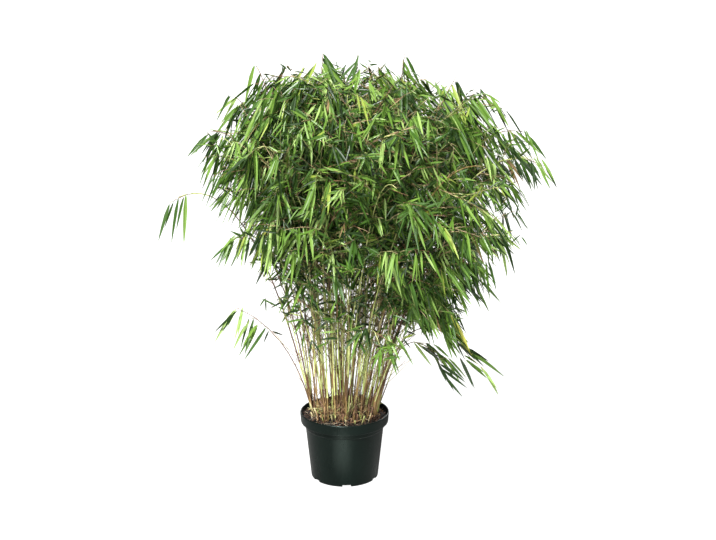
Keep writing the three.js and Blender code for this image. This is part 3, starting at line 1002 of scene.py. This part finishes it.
def grow_leaf(crown, tier, root, aim, size, tint, draw, free=False):
    """A leaf, if it fits. A free one always does, and turns its face to the front."""
    spread = spreader(draw)
    direction = (aim + Vector((spread(0.18), spread(0.18), spread(0.15)))).normalized()
    length = size * (0.66 + 0.62 * draw())
    droop = 0.01 + 0.12 * draw()
    tip = root + direction * length - UP * (droop * length)
    if not free and not leaf_fits(tip, draw):
        return False
    outward = Vector((tip.x - CROWN_AXIS, tip.y, 0)).normalized() * 0.4
    if free:
        outward = Vector((0, -2.4, 0))
    facing = UP * 0.7 + outward + Vector((spread(1.1), spread(1.1), spread(0.6)))
    side = direction.cross(facing).normalized()
    width = LEAF["least"] + length * (0.052 + 0.036 * draw())
    fold = 0.15 + 0.35 * draw()
    crown.leaves[tier].append((*root, *direction, *side, length, width, droop, fold, tint))
    return True


def grow_sprig(crown, tier, root, direction, draw):
    """A fine twig whose few leaves point much the same way."""
    spread = spreader(draw)
    length = mix(SPRIG["shortest"], SPRIG["longest"], draw())
    tip = root + direction * length - UP * (0.12 * length)
    if crown_share(tip, mix(FRINGE["beyond"], FRINGE["sprigs"], draw())) >= 1:
        return
    rows = bent(root, root + direction * (0.55 * length), tip, 4)
    surface = surface_share(tip)
    flank = abs(tip.x - CROWN_AXIS) / math.hypot(tip.x - CROWN_AXIS, tip.y, 1)
    bold = draw() < surface * mix(BOLD["front"], BOLD["flank"], flank)
    # Sprigs deep in the crown mostly take the dark shares, as painted shade.
    weights = LEAF_WEIGHTS if bold or draw() < 0.1 + 0.4 * surface else INNER_SHADE_WEIGHTS
    tint = dealt(draw, weights)
    aim = hanging(tip, bold, draw)
    beside = sideways(aim)
    splay = 0.2 if bold else 0.5
    size = LEAF["outer"] if bold else LEAF["inner"]
    count = 3 + int(3 * draw())
    grown = 0
    for i in range(count):
        last = i == count - 1
        point, _ = along_rows(rows, 0.99 if last else 0.25 + 0.7 * i / count)
        own = aim + beside * (spread(0.1) if last else splay * (0.5 + draw()) * side_of(i))
        leaf_tint = tint if draw() < 0.7 else dealt(draw, weights)
        grown += grow_leaf(crown, tier, point, own, size, leaf_tint, draw)
    if grown:
        crown.add_wood(tier, "sprig", rows, WOOD["sprig"], draw)


def twig_start(culm, share, turn, rise):
    """Where a twig leaves its culm, and which way: steeper the more it rises."""
    heading = culm.heading(share)
    side = Matrix.Rotation(turn, 3, heading) @ Vector((1, 0, 0)).cross(heading).normalized()
    return culm.point(share), (heading * rise + side).normalized()


def grow_twig(crown, culm, share, turn, length, draw):
    """A twig leaves the culm at a node, nearly straight, and bears sprigs on alternate sides."""
    root, start = twig_start(culm, share, turn, 0.6 + 0.8 * draw())
    droop = TWIG["droop"] * (0.1 + 0.9 * draw())
    tip = root + start * length - UP * (droop * length)
    thinning = max(0, (tip.z - skirt(tip)) / SKIRT["fade"]) ** 1.2
    margin = mix(FRINGE["beyond"], FRINGE["twigs"], math.sqrt(draw())) + FRINGE["bays"] * bay(tip)
    if crown_share(tip, margin) >= 1 or draw() > thinning:
        return
    rows = bent(root, root + start * (0.6 * length), tip, 5)
    crown.add_wood(culm.tier, "twig", rows, WOOD["twig"], draw)
    count = max(3, round(length / SPRIG["spacing"]))
    for i in range(count):
        last = i == count - 1
        point, ahead = along_rows(rows, 0.985 if last else 0.18 + 0.8 * i / count)
        beside = sideways(ahead) * side_of(i)
        aim = ahead + beside * (0.3 * (draw() - 0.5) if last else 0.35 + 0.7 * draw())
        aim = (aim + UP * (0.3 - 0.6 * draw())).normalized()
        grow_sprig(crown, culm.tier, point, aim, draw)


def grow_bare_twig(crown, culm, share, turn, draw):
    """A fine twig low on the culm, with a few small leaves at most."""
    root, start = twig_start(culm, share, turn, 0.8 + 1.2 * draw())
    length = 45 + 170 * draw()
    tip = root + start * length + UP * (0.08 * length)
    if crown_share(tip, FRINGE["beyond"]) >= 1:
        return
    rows = bent(root, root + start * (0.5 * length), tip, 4)
    crown.add_wood(culm.tier, "bare", rows, WOOD["bare"], draw)
    leafy = share < BARE[culm.tier] and draw() < TWIG["bare_leafy"]
    if leafy and tip.z > TWIG["bare_leaves_above"]:
        for _ in range(1 + int(1.6 * draw())):
            aim = hanging(tip, False, draw)
            for _ in range(1 + int(2 * draw())):
                # Leaves on low bare twigs take the dark shares too, as painted shade under the
                # crown.
                tint = dealt(draw, INNER_SHADE_WEIGHTS)
                grow_leaf(crown, culm.tier, tip, aim, LEAF["inner"], tint, draw, True)


def grow_spray(crown, culm):
    """The leaves of a spray, in small groups on stalks along the outer part of its stem."""
    spray = culm.spray
    draw = seeded(SEED["sprays"] + spray["tip"][0] + spray["tip"][2])
    spread = spreader(draw)
    out = math.atan2(culm.tip.y - culm.bend.y, culm.tip.x - culm.bend.x)
    for i in range(spray["sprigs"]):
        share = mix(spray["first"], 0.99, (i + 0.5 + spread(0.3)) / spray["sprigs"])
        ahead = culm.heading(share)
        beside = sideways(ahead) * side_of(i)
        stalk = (ahead * 0.8 + beside * (0.3 + 0.5 * draw()) + UP * spread(0.7)).normalized()
        length = spray["stalk"] * (0.3 + 0.7 * draw())
        root = culm.point(share)
        tip = root + stalk * length - UP * (0.15 * length)
        rows = bent(root, root + stalk * (0.6 * length), tip, 4)
        crown.add_wood(culm.tier, "sprig", rows, WOOD["stalk"], draw)
        azimuth = out + spread(0.5)
        dip = spray["dip"] + spread(0.3 * (90 - spray["dip"]))
        aim = pointing(azimuth, math.radians(dip))
        tint = dealt(draw, LEAF_WEIGHTS)
        for k in range(int(spray["many"] + draw())):
            own = aim + sideways(aim) * spread(0.3)
            point, _ = along_rows(rows, 0.99 if k == 0 else 0.4 + 0.55 * draw())
            grow_leaf(crown, culm.tier, point, own, spray["leaf"], tint, draw, True)


def grow_culm(crown, culm, draw):
    """What grows on one culm: bare twigs low down, leafy ones above, and sprigs at its tip."""
    bare = BARE[culm.tier]
    turn = 6 * draw()
    for share in culm.marks:
        if 0.1 < share < bare:
            for _ in range(int(TWIG["bare"] + draw())):
                grow_bare_twig(crown, culm, share, turn, draw)
                turn += GOLDEN_ANGLE
        elif share >= bare and not culm.spray:
            outer = (share - bare) / (1 - bare)
            if draw() < TWIG["straight"] and culm.point(share).z < TWIG["straight_below"]:
                grow_bare_twig(crown, culm, share, 6 * draw(), draw)
            for _ in range(int(TWIG["a_node"] + draw())):
                length = TWIG["length"] * (1 - 0.35 * outer) * (0.5 + 1.1 * draw() ** 1.2)
                grow_twig(crown, culm, share, turn, length, draw)
                turn += GOLDEN_ANGLE
    if culm.spray:
        grow_spray(crown, culm)
    else:
        for _ in range(SPRIG["at_tip"]):
            grow_sprig(crown, culm.tier, culm.point(0.99), culm.heading(0.99), draw)


LEAF_STATIONS = (  # how far along the leaf, and the share of its width that it has there
    (0.07, 0.5), (0.30, 1.0), (0.62, 0.78), (0.86, 0.36),
)
LEAF_POINTS = 14  # a root, four rows of left edge, midrib and right edge, and a tip


def leaf_mesh(name, leaves, greens):
    """Leaves as folded blades that droop towards their tips."""
    count = len(leaves)
    root, direction, side, rest = np.split(np.array(leaves, float), (3, 6, 9), axis=1)
    length, width, droop, fold, tint = rest.T
    down = np.array((0.0, 0.0, -1.0))

    def middle(t):
        return root + direction * (t * length)[:, None] + down * (droop * t * t * length)[:, None]

    points = np.empty((count, LEAF_POINTS, 3))
    points[:, 0] = root
    points[:, -1] = middle(1.0)
    for i, (t, share) in enumerate(LEAF_STATIONS):
        centre = middle(t)
        tangent = unit(direction + down * (2 * droop * t)[:, None])
        normal = unit(np.cross(side, tangent))
        reach = side * (0.5 * share * width)[:, None]
        raised = normal * (0.5 * share * width * fold)[:, None]
        points[:, 1 + 3 * i] = centre - reach + raised
        points[:, 2 + 3 * i] = centre
        points[:, 3 + 3 * i] = centre + reach + raised
    first = (np.arange(count) * LEAF_POINTS)[:, None, None]
    fans = np.array([(0, 2, 1), (0, 3, 2), (10, 11, 13), (11, 12, 13)])
    strips = np.array([(a, a + 1, a + 4, a + 3) for a in (1, 2, 4, 5, 7, 8)])
    creased = np.zeros((count, LEAF_POINTS), bool)
    creased[:, [0, 2, 5, 8, 11, 13]] = True
    faces = [(first + strips).reshape(-1, 4), (first + fans).reshape(-1, 3)]
    tints = np.concatenate([np.repeat(tint, len(strips)), np.repeat(tint, len(fans))])
    return mesh_piece(name, points.reshape(-1, 3), faces, greens, tints, creased.ravel())


def make_crown(culms):
    """Grows the crown on the culms, and makes the leaves and the twigs of each storey."""
    draw = seeded(SEED["foliage"])
    crown = Crown()
    for culm in culms:
        grow_culm(crown, culm, draw)
    greens = [
        plain(f"leaf_green_{i + 1}", colour, 0.4) for i, (colour, _) in enumerate(LEAF_TINTS)
    ]
    barks = tinted("twig_bark", TWIG_TINTS, 0.6)
    for tier in BARE:
        masses = sorted(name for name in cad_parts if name.startswith(f"foliage_{tier}_"))
        place(leaf_mesh(f"leaves_{tier}", crown.leaves[tier], greens), "foliage", *masses)
        place(wood_mesh(f"twigs_{tier}", crown.wood[tier], barks), "foliage", *masses)


# ---- The plant ----

make_camera()
make_light()
make_floor()
make_pot(pot_plastic())
make_soil(soil_crumb())
make_litter()

culms = culm_curves(seeded(SEED["culms"]), RINGS, SPRAYS)
own_sprays = culm_curves(seeded(SEED["sprays"]), (), OWN_SPRAYS)
thin_culms = thin_curves(seeded(SEED["thin"])) + low_curves(seeded(SEED["low"])) + own_sprays
culm_nodes = sorted(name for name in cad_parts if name.startswith("culm_"))
skin = tinted("culm_skin", CULM_TINTS, 0.42)
papery = tinted("sheath", SHEATH_TINTS, 0.7)
sheaths = make_culms("culms", culms, skin, culm_nodes, SHEATHS["on_solid"])
sheaths += make_culms("thin_culms", thin_culms, skin, (), SHEATHS["on_thin"])
make_sheaths("sheaths", sheaths, papery, culm_nodes)
make_stubs(papery)
make_crown(culms + thin_culms)
